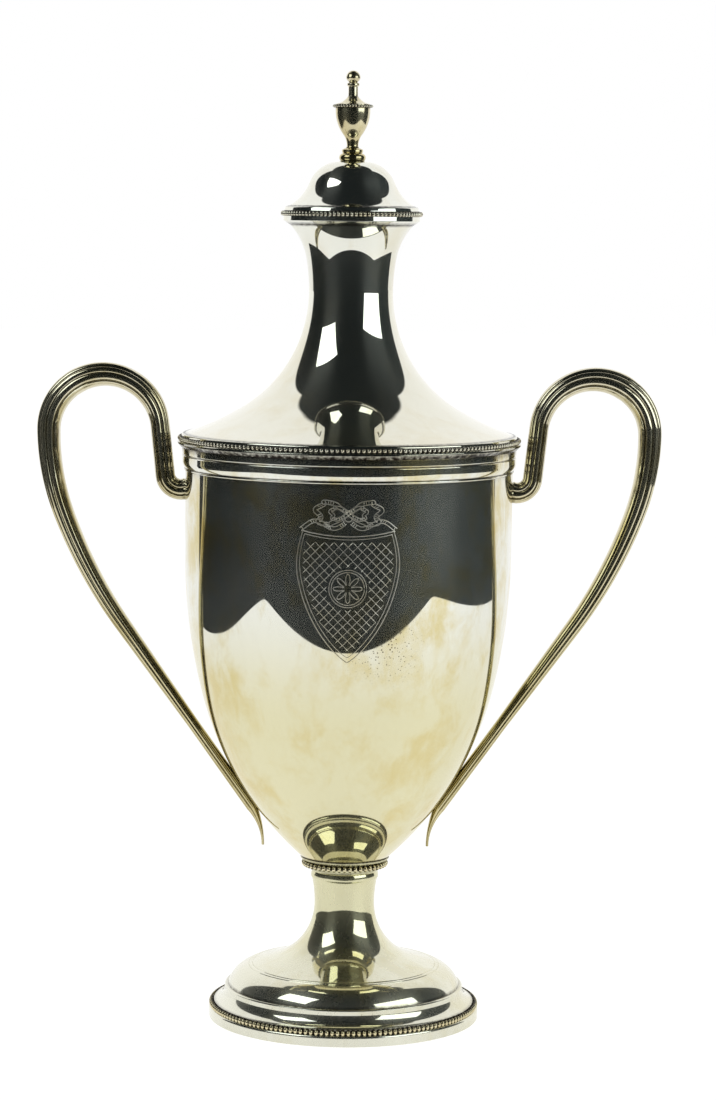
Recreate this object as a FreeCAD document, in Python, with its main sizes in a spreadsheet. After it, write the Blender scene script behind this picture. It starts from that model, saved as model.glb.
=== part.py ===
import FreeCAD, Part
import math
import os
import re
import Sketcher

# Two-handled cup and cover in sheet silver, with its own frame: +Z up, millimetres,
# origin on the table at the middle of the foot. The handles lie along X.

doc = FreeCAD.newDocument("CupAndCover")
sheet = doc.addObject("Spreadsheet::Sheet", "Sizes")

SIZES = {
    # foot: a flat band, a bead wire, a cove with a flat fillet above it
    "foot_radius": 71.7, "foot_band_inner": 69.6, "foot_band_height": 4.4, "foot_shelf": 4.7,
    "foot_top": 5.7, "foot_top_radius": 70.9, "foot_corner": 1.7, "foot_inner": 67.6,
    "foot_bead_ring": 70.4, "foot_bead": 1.3, "foot_bead_height": 7.0,
    "cove_radius_low": 69.1, "cove_low": 8.7, "cove_sweep": 7.0, "cove_wall": 1.5,
    "fillet_radius": 63.3, "fillet_low": 14.5, "fillet_high": 16.8, "fillet_top": 17.4,
    "fillet_top_radius": 62.7, "fillet_inner": 60.2,
    # pedestal: domed foot, concave sweep into a slim stem
    "pedestal_wall": 1.2, "pedestal_radius": 61.6, "shoulder_sweep": 15.5, "shoulder_radius": 54.8,
    "shoulder_height": 25.9, "dome_sweep": 18.0, "dome_radius": 49.5, "dome_height": 27.9,
    "apron_sweep": 80.0, "apron_radius": 34.9, "apron_height": 32.5, "stem_low_sweep": 31.2,
    "stem_radius": 15.9, "stem_height": 61.2, "stem_high_sweep": 61.3, "stem_top_radius": 18.4,
    "stem_flare": 78.5, "pedestal_top": 80.5,
    "line_outer": 50.6, "line_outer_height": 27.5, "line_inner": 48.7, "line_inner_height": 28.1,
    "line_cut": 0.35,
    # collar between the stem and the bowl
    "collar_bore": 13.5, "collar_neck": 20.15, "collar_radius": 23.6, "collar_flange": 83.95,
    "collar_top": 86.3, "collar_gap": 0.1,
    "collar_bead_ring": 21.6, "collar_bead": 1.45, "collar_bead_height": 82.5,
    # bowl
    "bowl_wall": 1.2, "bowl_floor": 83.0, "bowl_floor_radius": 14.2, "bowl_root_sweep": 14.0,
    "bowl_root_radius": 23.6, "bowl_root_height": 86.6, "bowl_low_sweep": 176.8, "bowl_mid_radius": 77.0,
    "bowl_mid_height": 175.2, "bowl_high_sweep": 302.0, "bowl_side_radius": 86.0,
    "bowl_side_height": 244.3, "bowl_mouth_radius": 86.2, "mouth_height": 304.0,
    # moulded lip and the small astragal below it
    "lip_inner": 86.25, "lip_radius": 87.8, "lip_low": 294.6, "lip_low_radius": 86.5,
    "lip_ovolo": 5.6, "lip_ovolo_top": 299.4, "lip_groove_radius": 87.3, "lip_groove": 300.0,
    "lip_fascia_low": 300.6, "astragal_low": 289.6, "astragal_high": 293.0, "astragal": 1.85,
    # cover, drawn in place: rim, bead wire, bezel and trumpet
    "rim_inner": 83.4, "rim_seat_radius": 88.4, "rim_radius": 90.25, "rim_nose_low": 305.9,
    "rim_nose_high": 306.6, "rim_ledge_radius": 89.6, "rim_ledge": 307.4, "rim_wall_radius": 88.1,
    "rim_fillet_low": 310.0, "rim_fillet_radius": 86.9, "rim_top": 311.0, "rim_thickness": 1.2,
    "rim_shell_inner": 82.4,
    "rim_bead_ring": 89.18, "rim_bead": 1.05, "rim_bead_height": 308.5,
    "bezel_radius": 84.5, "bezel_wall": 1.0, "bezel_low": 295.0,
    "cover_wall": 1.0, "cover_edge_bevel": 3.2, "cover_mid_in": 0.53, "cover_mid_down": 0.85,
    "neck_edge_bevel": 1.4, "cover_radius": 86.2, "cover_low_sweep": 140.4, "cover_mid_radius": 55.8,
    "cover_mid_height": 325.1, "cover_mid_sweep": 71.3, "neck_radius": 22.1, "neck_height": 385.7,
    "neck_sweep": 100.0, "neck_high_radius": 23.44, "neck_high_height": 402.0, "neck_top_sweep": 34.9,
    "neck_top_radius": 32.6, "neck_top": 420.4,
    # cap: two fasciae with a bead wire between them, and a small dome
    "girdle_inner": 31.0, "girdle_low_radius": 32.9, "girdle_radius": 35.8, "girdle_flare": 35.4,
    "girdle_flare_height": 422.0,
    "girdle_edge": 422.3, "girdle_top": 424.8, "cap_bead_ring": 36.08, "cap_bead": 1.1,
    "cap_bead_height": 425.92, "cap_neck_radius": 34.95, "cap_neck_top": 427.1,
    "cap_fascia_radius": 35.4, "cap_fascia_low": 427.4, "cap_fascia_high": 429.0,
    "cap_fascia_top_radius": 34.5, "cap_base": 429.6, "cap_wall": 1.0, "cap_radius": 33.8,
    "cap_low_sweep": 24.25, "cap_mid_radius": 22.2, "cap_mid_height": 442.4, "cap_high_sweep": 16.9,
    "cap_seat_radius": 8.2, "cap_top": 453.0, "cap_hole": 2.2,
    # finial: knop, urn, bead wire, urn cover with its ball, and the stud, washer and nut
    "knop_base": 5.9, "knop_sweep": 2.35, "knop_neck": 5.0, "knop_neck_height": 457.3,
    "knop_disc": 5.5, "knop_disc_low": 457.9, "knop_disc_high": 459.1, "knop_top_radius": 4.0,
    "knop_top": 459.9, "stud_bore": 2.1, "stud_radius": 2.0, "stud_top": 457.4, "stud_low": 441.5,
    "urn_foot": 3.5, "urn_stem": 3.0, "urn_stem_height": 460.9, "urn_stem_sweep": 9.0,
    "urn_waist": 5.1, "urn_waist_height": 467.1, "urn_sweep": 21.0, "urn_radius": 9.1,
    "urn_side": 479.6, "urn_top": 480.8,
    "urn_bead_ring": 9.8, "urn_bead": 0.8, "urn_bead_height": 481.65,
    "lid_radius": 8.95, "lid_edge": 482.7, "lid_sweep": 9.5, "lid_neck": 2.5, "lid_neck_low": 486.8,
    "lid_neck_high": 491.6, "lid_ring": 3.2, "lid_ring_low": 492.3, "lid_ring_high": 493.3,
    "ball_neck": 2.1, "ball_neck_height": 493.9, "ball": 3.8, "ball_shoulder": 4.2,
    "ball_top": 500.0,
    "washer_radius": 5.5, "washer_thickness": 0.8, "nut_radius": 4.6, "nut_height": 4.0,
    # handles: path of the middle of the strap, in the X-Z plane
    "bend_across": 86.8, "bend_height": 290.2, "bend_radius": 9.8, "bend_end": 22.0, "leg_lean": 6.5,
    "crown_across": 128.6, "crown_height": 311.7, "crown_radius": 29.3,
    "sweep_high": 125.0, "sweep_high_turn": 20.0, "sweep_low": 250.0, "sweep_low_turn": 15.5,
    "strap_straight": 119.0,
    # handles: thickness in the X-Z plane and width along Y
    "root_thickness": 10.4, "root_width": 11.6, "leg_thickness": 9.4, "leg_width": 12.4,
    "crown_thickness": 13.4, "crown_width": 14.0, "side_thickness": 11.8, "side_width": 13.2,
    "strap_thickness": 6.1, "strap_width": 8.8,
    # handles: where each section stands, as a part of the strap's length from its root
    "root_place": 0.0, "leg_place": 0.09, "crown_place": 0.28, "side_place": 0.42,
    "strap_place": 0.85, "strap_end_place": 1.0,
    "tail_drop": 20.8, "tail_reach": 6.2, "tail_thickness": 1.5, "tail_width": 3.0,
}


def fillSheet():
    # one row for each size: its name in column A, its value in column B
    for row, (name, value) in enumerate(SIZES.items(), start=1):
        sheet.set("A%d" % row, name)
        sheet.set("B%d" % row, "%g" % value)
        sheet.setAlias("B%d" % row, name)
    doc.recompute()


def size(name):
    return float(getattr(sheet, name))


def bound(text):
    # a formula in the sheet's own words, as another object has to write it
    return re.sub(r"[a-z_]+", lambda word: "Sizes." + word.group(), text)


def value(text):
    # the same formula worked out, for a sketch's first guess
    return float(sheet.evalExpression(text)) if re.search(r"[a-z]", text) else float(text)


def originPlane(body, role):
    return next(item for item in body.Origin.OriginFeatures if item.Role == role)


def newSketch(body, name):
    sketch = body.newObject("Sketcher::SketchObject", name)
    sketch.AttachmentSupport = (originPlane(body, "XZ_Plane"), [""])
    sketch.MapMode = "FlatFace"
    return sketch


def constrain(sketch, constraint, text):
    index = sketch.addConstraint(constraint)
    sketch.setExpression("Constraints[%d]" % index, bound(text))


def pinPoint(sketch, geometry, end, across, up):
    # holds one end of a line or arc at its distances from the axis and from the table
    if across == "0":
        sketch.addConstraint(Sketcher.Constraint("PointOnObject", geometry, end, -2))
    else:
        constrain(sketch, Sketcher.Constraint("DistanceX", -1, 1, geometry, end, value(across)), across)
    constrain(sketch, Sketcher.Constraint("DistanceY", -1, 1, geometry, end, value(up)), up)


def arcBetween(start, end, radius, side):
    # the short arc from start to end; side +1 has its centre to the left of the way along
    along = end - start
    middle = (start + end) * 0.5
    left = FreeCAD.Vector(-along.y, along.x, 0).normalize()
    centre = middle + left * side * math.sqrt(radius ** 2 - (along.Length / 2) ** 2)
    top = centre + (middle - centre).normalize() * radius
    return Part.Arc(start, top, end)


def drawOutline(sketch, outline):
    # outline: (across, up) for a straight run to that point, or (across, up, radius, side)
    points = [FreeCAD.Vector(value(step[0]), value(step[1]), 0) for step in outline]
    count = len(outline)
    ends = []
    for index, step in enumerate(outline):
        start, end = points[index - 1], points[index]
        if len(step) == 2:
            sketch.addGeometry(Part.LineSegment(start, end), False)
            ends.append((1, 2))
            continue
        arc = arcBetween(start, end, value(step[2]), step[3])
        sketch.addGeometry(arc, False)
        # Sketcher keeps an arc anticlockwise, so its first end may be the outline's second
        ends.append((1, 2) if step[3] > 0 else (2, 1))
    for index, step in enumerate(outline):
        following = (index + 1) % count
        joint = Sketcher.Constraint("Coincident", index, ends[index][1], following, ends[following][0])
        sketch.addConstraint(joint)
        pinPoint(sketch, index, ends[index][1], step[0], step[1])
        if len(step) == 4:
            constrain(sketch, Sketcher.Constraint("Radius", index, value(step[2])), step[2])


def turned(name, outline):
    # a piece turned or spun about the upright axis
    body = doc.addObject("PartDesign::Body", name)
    body.Label = name
    sketch = newSketch(body, name + "_outline")
    drawOutline(sketch, outline)
    turn = body.newObject("PartDesign::Revolution", name + "_turn")
    turn.Profile = sketch
    turn.ReferenceAxis = (sketch, ["V_Axis"])
    turn.Angle = 360.0
    sketch.Visibility = False
    doc.recompute()
    return body


def flatFaces(shape, heights):
    # names of the level faces at the given heights
    names = []
    for number, face in enumerate(shape.Faces, start=1):
        box = face.BoundBox
        level = box.ZLength < 1e-4
        if level and any(abs(box.ZMin - height) < 1e-3 for height in heights):
            names.append("Face%d" % number)
    return names


def hollow(body, wall, heights):
    # leaves a wall inside the outer surface, open at the level faces named by height
    solid = body.Tip
    shell = body.newObject("PartDesign::Thickness", body.Label + "_wall")
    shell.Base = (solid, flatFaces(solid.Shape, [size(height) for height in heights]))
    shell.setExpression("Value", bound(wall))
    shell.Reversed = True
    shell.Mode = 0
    shell.Join = 0
    body.Tip = shell
    doc.recompute()


def cutOutline(body, name, outline):
    # turns a small outline about the axis and takes it away
    before = body.Shape.Volume
    sketch = newSketch(body, name + "_outline")
    drawOutline(sketch, outline)
    groove = body.newObject("PartDesign::Groove", name)
    groove.Profile = sketch
    groove.ReferenceAxis = (sketch, ["V_Axis"])
    groove.Angle = 360.0
    sketch.Visibility = False
    body.Tip = groove
    doc.recompute()
    if not body.Shape.Volume < before:
        raise RuntimeError(name + " cut nothing")


def incisedLine(body, name, across, up):
    # one engraver's line: a narrow three-sided groove run round the dome
    cutOutline(body, name, [
        (across + " - line_cut", up + " + line_cut"), (across, up + " - line_cut"),
        (across + " + line_cut", up + " + line_cut")])


def beadWire(name, ring, bead, height):
    # the plain wire that the row of beads is struck from
    wire = doc.addObject("Part::Torus", name)
    wire.Label = name
    wire.setExpression("Radius1", bound(ring))
    wire.setExpression("Radius2", bound(bead))
    wire.setExpression("Placement.Base.z", bound(height))
    return wire


def makeFoot():
    turned("foot_rim", [
        ("foot_radius", "0"), ("foot_radius", "foot_band_height"),
        ("foot_top_radius", "foot_top", "foot_corner", 1),
        ("foot_inner", "foot_top"), ("foot_inner", "foot_shelf"), ("foot_band_inner", "foot_shelf"),
        ("foot_band_inner", "0")])
    beadWire("foot_bead_wire", "foot_bead_ring", "foot_bead", "foot_bead_height")
    turned("foot_cove", [
        ("cove_radius_low", "foot_top"), ("cove_radius_low", "cove_low"),
        ("fillet_radius", "fillet_low", "cove_sweep", -1), ("fillet_radius", "fillet_high"),
        ("fillet_top_radius", "fillet_top"), ("fillet_inner", "fillet_top"),
        ("fillet_radius - 2 * cove_wall", "fillet_low"),
        ("cove_radius_low - cove_wall", "cove_low - cove_wall", "cove_sweep + cove_wall", 1),
        ("cove_radius_low - cove_wall", "foot_top")])


def makePedestal():
    body = turned("pedestal", [
        ("0", "fillet_top"), ("pedestal_radius", "fillet_top"),
        ("shoulder_radius", "shoulder_height", "shoulder_sweep", 1),
        ("dome_radius", "dome_height", "dome_sweep", 1),
        ("apron_radius", "apron_height", "apron_sweep", -1),
        ("stem_radius", "stem_height", "stem_low_sweep", -1),
        ("stem_top_radius", "stem_flare", "stem_high_sweep", -1),
        ("stem_top_radius", "pedestal_top"), ("0", "pedestal_top")])
    hollow(body, "pedestal_wall", ["fillet_top"])
    incisedLine(body, "outer_line", "line_outer", "line_outer_height")
    incisedLine(body, "inner_line", "line_inner", "line_inner_height")


def makeCollar():
    turned("collar", [
        ("collar_bore", "pedestal_top"), ("collar_neck", "pedestal_top"),
        ("collar_neck", "collar_flange"), ("collar_radius", "collar_flange"),
        ("collar_radius", "collar_top"), ("bowl_root_radius - 2 * collar_gap", "collar_top"),
        ("bowl_floor_radius", "bowl_floor - collar_gap", "bowl_root_sweep", -1),
        ("collar_bore", "bowl_floor - collar_gap")])
    beadWire("collar_bead_wire", "collar_bead_ring", "collar_bead", "collar_bead_height")


BOWL_OUTLINE = [
    ("0", "bowl_floor"), ("bowl_floor_radius", "bowl_floor"),
    ("bowl_root_radius", "bowl_root_height", "bowl_root_sweep", 1),
    ("bowl_mid_radius", "bowl_mid_height", "bowl_low_sweep", 1),
    ("bowl_side_radius", "bowl_side_height", "bowl_high_sweep", 1),
    ("bowl_mouth_radius", "mouth_height"), ("0", "mouth_height")]


def makeBowl():
    body = turned("bowl", BOWL_OUTLINE)
    hollow(body, "bowl_wall", ["mouth_height"])
    turned("lip_moulding", [
        ("lip_inner", "lip_low"), ("lip_low_radius", "lip_low"),
        ("lip_radius", "lip_ovolo_top", "lip_ovolo", 1), ("lip_groove_radius", "lip_groove"),
        ("lip_radius", "lip_fascia_low"), ("lip_radius", "mouth_height"), ("lip_inner", "mouth_height")])
    turned("lip_astragal", [
        ("lip_inner", "astragal_low"), ("lip_inner", "astragal_high", "astragal", 1)])


def makeCover():
    turned("cover_rim", [
        ("rim_inner", "mouth_height"), ("rim_seat_radius", "mouth_height"),
        ("rim_radius", "rim_nose_low"), ("rim_radius", "rim_nose_high"),
        ("rim_ledge_radius", "rim_ledge"), ("rim_wall_radius", "rim_ledge"),
        ("rim_wall_radius", "rim_fillet_low"), ("rim_fillet_radius", "rim_top", "rim_thickness", 1),
        ("rim_shell_inner", "rim_top"), ("rim_shell_inner", "rim_top - rim_thickness"),
        ("rim_wall_radius - rim_thickness", "rim_top - rim_thickness"),
        ("rim_wall_radius - rim_thickness", "mouth_height + rim_thickness"),
        ("rim_inner", "mouth_height + rim_thickness")])
    beadWire("cover_bead_wire", "rim_bead_ring", "rim_bead", "rim_bead_height")
    turned("cover_bezel", [
        ("bezel_radius - bezel_wall", "bezel_low"), ("bezel_radius", "bezel_low"),
        ("bezel_radius", "mouth_height"), ("bezel_radius - bezel_wall", "mouth_height")])
    body = turned("cover_shell", [
        ("0", "rim_top"), ("cover_radius", "rim_top"),
        ("cover_mid_radius", "cover_mid_height", "cover_low_sweep", -1),
        ("neck_radius", "neck_height", "cover_mid_sweep", -1),
        ("neck_high_radius", "neck_high_height", "neck_sweep", -1),
        ("neck_top_radius", "neck_top", "neck_top_sweep", -1), ("0", "neck_top")])
    # the inside follows the outside one wall deeper, square to the surface at each joint
    cutOutline(body, "cover_inside", [
        ("0", "rim_top"), ("cover_radius - cover_edge_bevel", "rim_top"),
        ("cover_mid_radius - cover_wall * cover_mid_in", "cover_mid_height - cover_wall * cover_mid_down",
         "cover_low_sweep + cover_wall", -1),
        ("neck_radius - cover_wall", "neck_height", "cover_mid_sweep + cover_wall", -1),
        ("neck_high_radius - cover_wall", "neck_high_height", "neck_sweep + cover_wall", -1),
        ("neck_top_radius - neck_edge_bevel", "neck_top", "neck_top_sweep + cover_wall", -1),
        ("0", "neck_top")])


def makeCap():
    turned("neck_fascia", [
        ("girdle_inner", "neck_top"), ("girdle_low_radius", "neck_top"),
        ("girdle_flare", "girdle_flare_height"), ("girdle_radius", "girdle_edge"),
        ("girdle_radius", "girdle_top"), ("girdle_inner", "girdle_top")])
    beadWire("cap_bead_wire", "cap_bead_ring", "cap_bead", "cap_bead_height")
    turned("cap_fascia", [
        ("girdle_inner", "girdle_top"), ("cap_neck_radius", "girdle_top"),
        ("cap_neck_radius", "cap_neck_top"), ("cap_fascia_radius", "cap_fascia_low"),
        ("cap_fascia_radius", "cap_fascia_high"), ("cap_fascia_top_radius", "cap_base"),
        ("girdle_inner", "cap_base")])
    body = turned("cap_dome", [
        ("0", "cap_base"), ("cap_radius", "cap_base"),
        ("cap_mid_radius", "cap_mid_height", "cap_low_sweep", -1),
        ("cap_seat_radius", "cap_top", "cap_high_sweep", 1), ("0", "cap_top")])
    hollow(body, "cap_wall", ["cap_base"])
    cutOutline(body, "finial_hole", [
        ("0", "cap_top - 2 * cap_wall"), ("cap_hole", "cap_top - 2 * cap_wall"),
        ("cap_hole", "cap_top + cap_wall"), ("0", "cap_top + cap_wall")])


def makeFinial():
    turned("finial_knop", [
        ("stud_bore", "cap_top"), ("knop_base", "cap_top"),
        ("knop_neck", "knop_neck_height", "knop_sweep", 1), ("knop_disc", "knop_disc_low"),
        ("knop_disc", "knop_disc_high"), ("knop_top_radius", "knop_top"), ("0", "knop_top"),
        ("0", "stud_top"), ("stud_bore", "stud_top")])
    turned("finial_urn", [
        ("0", "knop_top"), ("urn_foot", "knop_top"), ("urn_stem", "urn_stem_height"),
        ("urn_waist", "urn_waist_height", "urn_stem_sweep", -1),
        ("urn_radius", "urn_side", "urn_sweep", 1), ("urn_radius", "urn_top"), ("0", "urn_top")])
    beadWire("finial_bead_wire", "urn_bead_ring", "urn_bead", "urn_bead_height")
    turned("finial_urn_cover", [
        ("0", "urn_top"), ("lid_radius", "urn_top"), ("lid_radius", "lid_edge"),
        ("lid_neck", "lid_neck_low", "lid_sweep", -1), ("lid_neck", "lid_neck_high"),
        ("lid_ring", "lid_ring_low"), ("lid_ring", "lid_ring_high"), ("ball_neck", "ball_neck_height"),
        ("ball", "ball_top - ball", "ball_shoulder", 1), ("0", "ball_top", "ball", 1)])


def makeFinialFixing():
    stud = doc.addObject("Part::Cylinder", "finial_stud")
    stud.Label = "finial_stud"
    stud.setExpression("Radius", bound("stud_radius"))
    stud.setExpression("Height", bound("stud_top - stud_low"))
    stud.setExpression("Placement.Base.z", bound("stud_low"))
    turned("finial_washer", [
        ("cap_hole", "cap_top - cap_wall - washer_thickness"),
        ("washer_radius", "cap_top - cap_wall - washer_thickness"),
        ("washer_radius", "cap_top - cap_wall"), ("cap_hole", "cap_top - cap_wall")])
    blank = doc.addObject("Part::Prism", "nut_blank")
    blank.Polygon = 6
    blank.setExpression("Circumradius", bound("nut_radius"))
    blank.setExpression("Height", bound("nut_height"))
    base = "cap_top - cap_wall - washer_thickness - nut_height"
    blank.setExpression("Placement.Base.z", bound(base))
    bore = doc.addObject("Part::Cylinder", "nut_bore")
    bore.setExpression("Radius", bound("stud_bore"))
    bore.setExpression("Height", bound("3 * nut_height"))
    bore.setExpression("Placement.Base.z", bound(base + " - nut_height"))
    nut = doc.addObject("Part::Cut", "finial_nut")
    nut.Label = "finial_nut"
    nut.Base = blank
    nut.Tool = bore


def arcStations(centre, radius, first, last, count):
    # points round an arc, each with the way the strap is heading there
    turn = 1 if last > first else -1
    for step in range(count):
        angle = math.radians(first + (last - first) * step / (count - 1))
        point = (centre[0] + radius * math.cos(angle), centre[1] + radius * math.sin(angle))
        yield point, (-turn * math.sin(angle), turn * math.cos(angle))


def handlePath():
    # from the wall of the bowl, round the bend, up the leg, over the crown and down the long sweep
    lean = size("leg_lean")
    bend = (size("bend_across"), size("bend_height"))
    crown = (size("crown_across"), size("crown_height"))
    stations = list(arcStations(bend, size("bend_radius"), -90 - size("bend_end"), -lean, 11))
    stations += list(arcStations(crown, size("crown_radius"), 180 - lean, 0, 19))
    (across, up), _ = stations[-1]
    turned_so_far = 0.0
    for sweep, turn in (("sweep_high", "sweep_high_turn"), ("sweep_low", "sweep_low_turn")):
        radius = size(sweep)
        last = turned_so_far + size(turn)
        start = math.radians(turned_so_far)
        centre = (across - radius * math.cos(start), up + radius * math.sin(start))
        stations += list(arcStations(centre, radius, -turned_so_far, -last, 7))[1:]
        (across, up), heading = stations[-1]
        turned_so_far = last
    for part in (0.25, 0.5, 0.75, 1.0):
        run = part * size("strap_straight")
        stations.append(((across + run * heading[0], up + run * heading[1]), heading))
    return stations


# the driving sections in order from the root, each with the name of its place along the strap
SECTIONS = (("root", "root_place"), ("leg", "leg_place"), ("crown", "crown_place"),
            ("side", "side_place"), ("strap", "strap_place"), ("strap", "strap_end_place"))


def blended(low, high, blend):
    # a formula that lies between two cells
    return "%.6f * %s + %.6f * %s" % (1 - blend, low, blend, high)


def stationSizes(stations):
    # formulas for the thickness and width at each station, blended along the path
    lengths = [0.0]
    for (before, _), (after, _) in zip(stations, stations[1:]):
        lengths.append(lengths[-1] + math.dist(before, after))
    places = [size(place) for _, place in SECTIONS]
    sizes = []
    for length in lengths:
        part = length / lengths[-1]
        index = max(number for number, place in enumerate(places[:-1]) if place <= part)
        blend = (part - places[index]) / (places[index + 1] - places[index])
        low, high = SECTIONS[index][0], SECTIONS[index + 1][0]
        sizes.append([blended(low + kind, high + kind, blend) for kind in ("_thickness", "_width")])
    return sizes


def addTail(stations, sizes):
    # the strap thins to a leaf that turns down and away from the bowl
    (across, up), _ = stations[-1]
    for part in (0.25, 0.5, 0.75, 1.0):
        ease = part * (2 - part)
        point = (across - size("tail_reach") * ease, up - size("tail_drop") * part)
        slope = -2 * size("tail_reach") * (1 - part) / size("tail_drop")
        length = math.hypot(slope, 1)
        stations.append((point, (slope / length, -1 / length)))
        sizes.append([blended("strap_thickness", "tail_thickness", ease),
                      blended("strap_width", "tail_width", part)])


def makeHandles():
    stations = handlePath()
    sizes = stationSizes(stations)
    addTail(stations, sizes)
    sections = []
    for (point, heading), (thickness, width) in zip(stations, sizes):
        section = doc.addObject("Part::Ellipse", "handle_section")
        section.setExpression("MajorRadius", bound("(%s) / 2" % width))
        section.setExpression("MinorRadius", bound("(%s) / 2" % thickness))
        along = FreeCAD.Vector(heading[0], 0, heading[1])
        turn = FreeCAD.Rotation(FreeCAD.Vector(0, 1, 0), FreeCAD.Vector(), along, "ZXY")
        section.Placement = FreeCAD.Placement(FreeCAD.Vector(point[0], 0, point[1]), turn)
        sections.append(section)
    strap = doc.addObject("Part::Loft", "handle_strap")
    strap.Sections = sections
    strap.Solid = True
    strap.Ruled = True
    # both ends are filed to the round of the bowl
    former = turned("bowl_former", BOWL_OUTLINE)
    right = doc.addObject("Part::Cut", "handle_right")
    right.Label = "handle_right"
    right.Base = strap
    right.Tool = former
    left = doc.addObject("Part::Mirroring", "handle_left")
    left.Label = "handle_left"
    left.Source = right
    left.Normal = FreeCAD.Vector(1, 0, 0)


NODES = [
    "foot_rim", "foot_bead_wire", "foot_cove", "pedestal", "collar", "collar_bead_wire", "bowl",
    "lip_moulding", "lip_astragal", "handle_left", "handle_right", "cover_rim", "cover_bead_wire",
    "cover_bezel", "cover_shell", "neck_fascia", "cap_bead_wire", "cap_fascia", "cap_dome",
    "finial_knop", "finial_urn", "finial_bead_wire", "finial_urn_cover", "finial_stud",
    "finial_washer", "finial_nut"]


def checkModel():
    for item in doc.Objects:
        if "Invalid" in item.State or "Error" in item.State:
            raise RuntimeError("%s failed: %s" % (item.Name, item.State))
    for name in NODES:
        shape = doc.getObjectsByLabel(name)[0].Shape
        if shape.isNull() or not shape.isValid() or shape.Volume <= 0:
            raise RuntimeError(name + " has no valid shape")


def exportNodes():
    os.makedirs("parts", exist_ok=True)
    for name in NODES:
        shape = doc.getObjectsByLabel(name)[0].Shape
        shape.exportStep("parts/%s.step" % name)
        box = shape.optimalBoundingBox(False)
        print("%-18s solids %d  volume %9.1f mm3  z %.2f to %.2f  reach %.2f" % (
            name, len(shape.Solids), shape.Volume, box.ZMin, box.ZMax, box.XMax))


fillSheet()
makeFoot()
makePedestal()
makeCollar()
makeBowl()
makeCover()
makeCap()
makeFinial()
makeFinialFixing()
makeHandles()
doc.recompute()
checkModel()
exportNodes()
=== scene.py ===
import math

import bpy
import numpy as np
from mathutils import Matrix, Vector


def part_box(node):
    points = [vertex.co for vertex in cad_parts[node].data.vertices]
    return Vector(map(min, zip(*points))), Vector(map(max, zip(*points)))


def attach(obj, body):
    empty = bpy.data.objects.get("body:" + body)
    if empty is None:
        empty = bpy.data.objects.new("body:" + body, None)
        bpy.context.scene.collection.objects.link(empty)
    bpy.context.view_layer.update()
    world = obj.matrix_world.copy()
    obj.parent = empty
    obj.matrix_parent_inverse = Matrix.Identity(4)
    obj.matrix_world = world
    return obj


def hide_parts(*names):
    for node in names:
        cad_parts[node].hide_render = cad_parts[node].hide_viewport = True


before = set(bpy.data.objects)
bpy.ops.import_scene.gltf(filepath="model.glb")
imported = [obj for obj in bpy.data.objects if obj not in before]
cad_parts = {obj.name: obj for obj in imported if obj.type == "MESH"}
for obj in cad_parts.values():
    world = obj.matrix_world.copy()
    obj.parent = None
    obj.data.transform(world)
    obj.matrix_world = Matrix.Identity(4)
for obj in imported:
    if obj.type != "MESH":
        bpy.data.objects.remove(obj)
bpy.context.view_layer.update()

# A silver two-handled cup and cover. Settings are in millimetres and degrees, meshes in metres.
metre = 1000.0

meshSettings = {
    "step": 1.6,          # spacing of points along an outline
    "easing": 0.22,       # how far a hard edge is worn back on each side
    "hardTurn": 14.0,     # a corner that turns by more than this is eased
    "sharpTurn": 50.0,    # and one that turns by more than this is shaded as an edge
    "largeRound": 256,    # points round the bowl, the cover and the foot
    "smallRound": 112,    # points round the finial
}


def nodeSpan(node):
    # lowest height, highest height and widest reach of a CAD node
    low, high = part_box(node)
    return low.z * metre, high.z * metre, high.x * metre


def arcPoints(start, end, radius, side):
    # the short arc between two points: centre + radius times (cos, sin) of an angle that runs evenly
    chord = end - start
    length = np.hypot(*chord)
    left = np.array([-chord[1], chord[0]]) / length
    centre = (start + end) / 2 + left * side * math.sqrt(max(radius ** 2 - length ** 2 / 4, 0.0))
    first = math.atan2(*(start - centre)[::-1])
    sweep = 2 * math.asin(min(length / 2 / radius, 1.0)) * side
    count = max(8, int(radius * abs(sweep) / meshSettings["step"]))
    angles = first + sweep * np.linspace(0, 1, count)
    return centre + radius * np.stack([np.cos(angles), np.sin(angles)], axis=1)


def runLengths(points):
    # distance along a line of points, from its start
    return np.concatenate([[0.0], np.cumsum(np.hypot(*np.diff(points, axis=0).T))])


def pointsAt(points, lengths):
    # points of a line at the given distances along it
    along = runLengths(points)
    return np.stack([np.interp(lengths, along, points[:, axis]) for axis in (0, 1)], axis=1)


def trimmed(run, before, after):
    # a run shortened at its ends, with a close pair of points left there to hold its flatness
    total = runLengths(run)[-1]
    first, last = before, total - after
    count = max(len(run), int(total / meshSettings["step"]), 2)
    hold = min(meshSettings["easing"], (last - first) / 4)
    inside = np.linspace(first + hold, last - hold, count)
    return pointsAt(run, np.concatenate([[first], inside, [last]]))


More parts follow.
